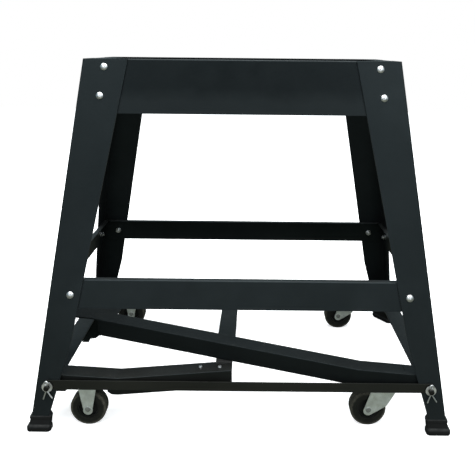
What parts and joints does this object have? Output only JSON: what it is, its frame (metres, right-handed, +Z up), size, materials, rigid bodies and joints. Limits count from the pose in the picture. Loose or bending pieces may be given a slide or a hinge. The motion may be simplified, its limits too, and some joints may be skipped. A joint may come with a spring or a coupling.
{
  "type": "mobile machine stand",
  "caption": "Splayed black steel machine stand with aprons, low rails, rubber feet and foot-lever lift frames that lower small casters.",
  "frame": {"origin": "on the floor, at the centre of the footprint of the four rubber feet", "axes": "+Z up, +X to the right seen from the front, +Y to the back; the lever pedal is at the front left"},
  "size_m": [0.8026, 0.5488, 0.694],
  "materials": {
    "black_powder_coat": "semi-gloss black powder coat, fine orange-peel",
    "zinc_hardware": "bright zinc plate",
    "zinc_fork": "bright zinc plate, pressed",
    "black_rubber": "matte",
    "black_plastic": "moulded",
    "caster_tyre": "matte, dusty tread",
    "caster_hub": "moulded"
  },
  "bodies": {
    "stand": {"apron_front": "black_powder_coat", "apron_left": "black_powder_coat", "apron_rear": "black_powder_coat", "apron_right": "black_powder_coat", "axle_left": "zinc_hardware", "axle_right": "zinc_hardware", "axle_spacers": "zinc_hardware", "axle_washers": "zinc_hardware", "foot_front_left": "black_rubber", "foot_front_right": "black_rubber", "foot_rear_left": "black_rubber", "foot_rear_right": "black_rubber", "leg_front_left": "black_powder_coat", "leg_front_right": "black_powder_coat", "leg_rear_left": "black_powder_coat", "leg_rear_right": "black_powder_coat", "rail_front": "black_powder_coat", "rail_left": "black_powder_coat", "rail_rear": "black_powder_coat", "rail_right": "black_powder_coat", "split_pins": "zinc_hardware", "stand_bolts": "zinc_hardware", "stand_nuts": "zinc_hardware", "stand_washers": "zinc_hardware", "tie_bar_front": "black_powder_coat", "tie_bar_rear": "black_powder_coat"},
    "left_lift_frame": {"wear_pad": "black_plastic", "left_side_bar": "black_powder_coat", "left_front_arm": "black_powder_coat", "left_rear_arm": "black_powder_coat", "left_arm_rivets": "zinc_hardware", "left_pivot_plate": "black_powder_coat", "bracket_left_front": "black_powder_coat", "bracket_left_rear": "black_powder_coat", "caster_bolts_left": "zinc_hardware", "fork_left_front": "zinc_fork", "fork_left_rear": "zinc_fork", "wheel_axle_left_front": "zinc_hardware", "wheel_axle_left_rear": "zinc_hardware"},
    "right_lift_frame": {"right_side_bar": "black_powder_coat", "lever_arm": "black_powder_coat", "centre_brace": "black_powder_coat", "right_rear_arm": "black_powder_coat", "bracket_right_front": "black_powder_coat", "bracket_right_rear": "black_powder_coat", "caster_bolts_right": "zinc_hardware", "swivel_top_right_front": "zinc_fork", "swivel_top_right_rear": "zinc_fork"},
    "swivel_right_front": {"fork_right_front": "zinc_fork", "wheel_axle_right_front": "zinc_hardware"},
    "wheel_left_front": {"tyre_left_front": "caster_tyre", "hub_left_front": "caster_hub"},
    "wheel_right_front": {"tyre_right_front": "caster_tyre", "hub_right_front": "caster_hub"},
    "swivel_right_rear": {"fork_right_rear": "zinc_fork", "wheel_axle_right_rear": "zinc_hardware"},
    "wheel_left_rear": {"tyre_left_rear": "caster_tyre", "hub_left_rear": "caster_hub"},
    "wheel_right_rear": {"tyre_right_rear": "caster_tyre", "hub_right_rear": "caster_hub"}
  },
  "joints": [
    {"name": "right_lift", "type": "hinge", "parent": "stand", "child": "right_lift_frame", "pos_m": [0.362, 0, 0.085], "axis": [0, -1, 0], "range_deg": [0, 5.7]},
    {"name": "left_lift", "type": "hinge", "parent": "stand", "child": "left_lift_frame", "pos_m": [-0.362, 0, 0.085], "axis": [0, 1, 0], "range_deg": [0, 7.38]},
    {"name": "swivel_right_front", "type": "hinge", "parent": "right_lift_frame", "child": "swivel_right_front", "pos_m": [0.283, -0.228, 0.07], "axis": [0, 0, 1], "continuous": true},
    {"name": "wheel_spin_right_front", "type": "hinge", "parent": "swivel_right_front", "child": "wheel_right_front", "pos_m": [0.249, -0.228, 0.0345], "axis": [0, 1, 0], "continuous": true},
    {"name": "wheel_spin_left_front", "type": "hinge", "parent": "left_lift_frame", "child": "wheel_left_front", "pos_m": [-0.2895, -0.235, 0.0345], "axis": [0, 1, 0], "continuous": true},
    {"name": "swivel_right_rear", "type": "hinge", "parent": "right_lift_frame", "child": "swivel_right_rear", "pos_m": [0.283, 0.199, 0.07], "axis": [0, 0, 1], "continuous": true},
    {"name": "wheel_spin_right_rear", "type": "hinge", "parent": "swivel_right_rear", "child": "wheel_right_rear", "pos_m": [0.249, 0.199, 0.0345], "axis": [0, 1, 0], "continuous": true},
    {"name": "wheel_spin_left_rear", "type": "hinge", "parent": "left_lift_frame", "child": "wheel_left_rear", "pos_m": [-0.2895, 0.199, 0.0345], "axis": [0, 1, 0], "continuous": true}
  ],
  "couplings": [
    {"joint": "left_lift", "follows": "right_lift", "ratio": 1.295}
  ]
}
